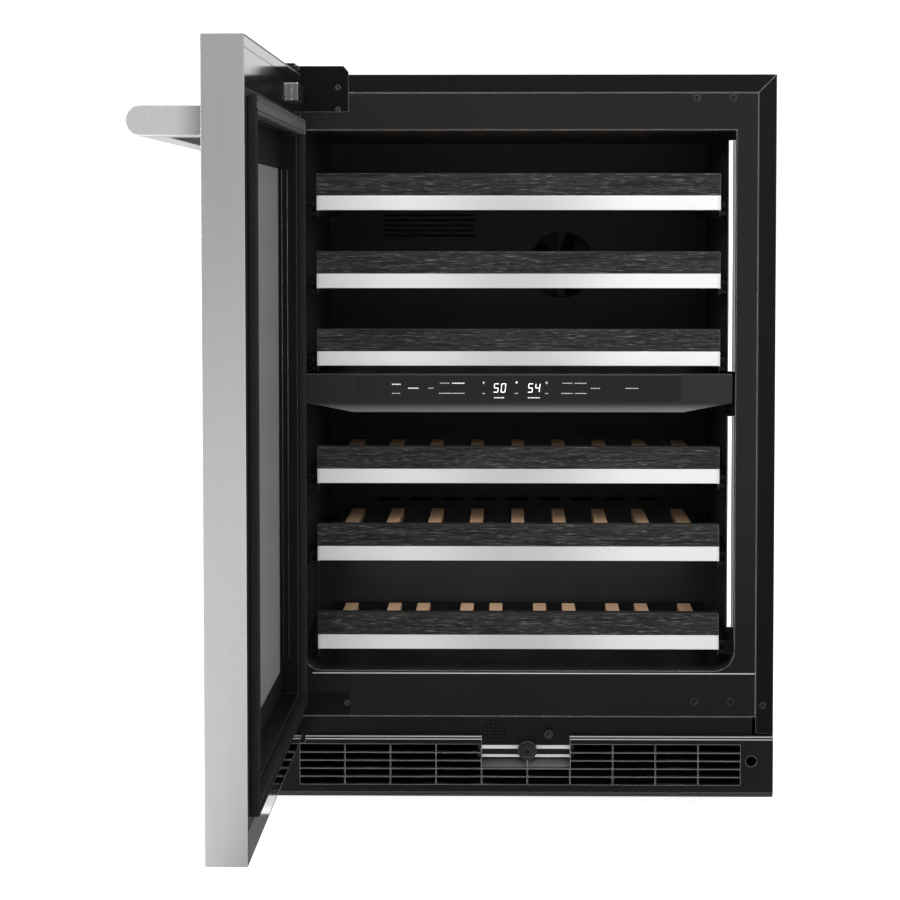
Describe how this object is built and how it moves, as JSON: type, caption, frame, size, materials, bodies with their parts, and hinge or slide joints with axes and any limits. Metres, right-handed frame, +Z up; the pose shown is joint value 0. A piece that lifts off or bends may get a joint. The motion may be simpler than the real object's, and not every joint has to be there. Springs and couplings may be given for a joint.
{
  "type": "wine cooler",
  "caption": "Built-in wine cooler with two zones, pull-out timber-fronted racks, a glass door with bar handle, control panel, and toe grille.",
  "frame": {"origin": "on the floor, under the middle of the cabinet's front face", "axes": "+X to the right seen from the front, +Y from the front face into the cabinet, +Z up; the door stands open 90 degrees towards -Y"},
  "size_m": [0.6727, 1.1765, 0.88],
  "materials": {
    "cabinet_black": "satin",
    "grey_sheet": "satin",
    "liner_black": "satin",
    "foam": "matte",
    "brushed_steel": "satin",
    "bright_steel": "polished",
    "gasket_black": "matte",
    "tinted_glass": "gloss",
    "clear_glass": "gloss",
    "spacer": "satin",
    "black_oak": "satin",
    "beech": "satin",
    "rack_steel": "satin",
    "rail_black": "satin",
    "black_glass": "gloss",
    "light_lens": "satin",
    "light_channel": "satin",
    "coil_metal": "satin",
    "compressor_black": "gloss",
    "fan_black": "satin",
    "screw_black": "gloss",
    "foot_black": "satin"
  },
  "bodies": {
    "cabinet": {"side_panel_left": "cabinet_black", "side_panel_right": "cabinet_black", "top_panel": "cabinet_black", "back_panel": "grey_sheet", "rear_vent_cover": "grey_sheet", "base_pan": "grey_sheet", "leveling_feet": "foot_black", "front_frame": "cabinet_black", "inner_liner": "liner_black", "foam_insulation": "foam", "frame_screws": "screw_black", "kick_strip": "cabinet_black", "toe_grille": "cabinet_black", "lock_bracket": "bright_steel", "top_hinge_bracket": "cabinet_black", "bottom_hinge_bracket": "cabinet_black", "zone_divider": "liner_black", "control_housing": "liner_black", "control_glass": "black_glass", "led_channel": "light_channel", "led_lens": "light_lens", "evaporator_cover": "liner_black", "evaporator_coil": "coil_metal", "compressor": "compressor_black", "condenser_coil": "coil_metal", "fan_shroud": "grey_sheet", "power_inlet": "foot_black", "rack_rails": "rail_black"},
    "door": {"door_outer_skin": "brushed_steel", "door_end_caps": "bright_steel", "door_inner_liner": "liner_black", "door_gasket": "gasket_black", "glass_outer_pane": "tinted_glass", "glass_inner_pane": "clear_glass", "glass_spacer": "spacer", "door_hinge_fittings": "bright_steel", "handle_bar": "brushed_steel", "handle_posts": "brushed_steel"},
    "evaporator_fan_rotor": {"evaporator_fan": "fan_black"},
    "condenser_fan_rotor": {"condenser_fan": "fan_black"},
    "switch": {"door_switch_plunger": "bright_steel"},
    "lock": {"lock_knob": "liner_black"},
    "rack_1": {"rack_1_board": "black_oak", "rack_1_carrier": "rack_steel", "rack_1_slats": "beech"},
    "rack_2": {"rack_2_board": "black_oak", "rack_2_carrier": "rack_steel", "rack_2_slats": "beech"},
    "rack_3": {"rack_3_board": "black_oak", "rack_3_carrier": "rack_steel", "rack_3_slats": "beech"},
    "rack_4": {"rack_4_board": "black_oak", "rack_4_carrier": "rack_steel", "rack_4_slats": "beech"},
    "rack_5": {"rack_5_board": "black_oak", "rack_5_carrier": "rack_steel", "rack_5_slats": "beech"},
    "rack_6": {"rack_6_board": "black_oak", "rack_6_carrier": "rack_steel", "rack_6_slats": "beech"}
  },
  "joints": [
    {"name": "door_hinge", "type": "hinge", "parent": "cabinet", "child": "door", "pos_m": [-0.27975, -0.03525, 0.48], "axis": [0, 0, -1], "range_deg": [-90, 25]},
    {"name": "rack_1_slide", "type": "slide", "parent": "cabinet", "child": "rack_1", "axis": [0, -1, 0], "range_m": [0, 0.3]},
    {"name": "rack_2_slide", "type": "slide", "parent": "cabinet", "child": "rack_2", "axis": [0, -1, 0], "range_m": [0, 0.3]},
    {"name": "rack_3_slide", "type": "slide", "parent": "cabinet", "child": "rack_3", "axis": [0, -1, 0], "range_m": [0, 0.3]},
    {"name": "rack_4_slide", "type": "slide", "parent": "cabinet", "child": "rack_4", "axis": [0, -1, 0], "range_m": [0, 0.3]},
    {"name": "rack_5_slide", "type": "slide", "parent": "cabinet", "child": "rack_5", "axis": [0, -1, 0], "range_m": [0, 0.3]},
    {"name": "rack_6_slide", "type": "slide", "parent": "cabinet", "child": "rack_6", "axis": [0, -1, 0], "range_m": [0, 0.16]},
    {"name": "door_switch", "type": "slide", "parent": "cabinet", "child": "switch", "axis": [0, 1, 0], "range_m": [0, 0.004], "stiffness_N_per_m": 250, "springref_m": -0.003},
    {"name": "lock_turn", "type": "hinge", "parent": "cabinet", "child": "lock", "pos_m": [0.011, 0, 0.0705], "axis": [0, -1, 0], "range_deg": [0, 90]},
    {"name": "evaporator_fan_spin", "type": "hinge", "parent": "cabinet", "child": "evaporator_fan_rotor", "pos_m": [0.06, 0.451, 0.64], "axis": [0, -1, 0], "continuous": true},
    {"name": "condenser_fan_spin", "type": "hinge", "parent": "cabinet", "child": "condenser_fan_rotor", "pos_m": [-0.145, 0.362, 0.115], "axis": [0, -1, 0], "continuous": true}
  ]
}
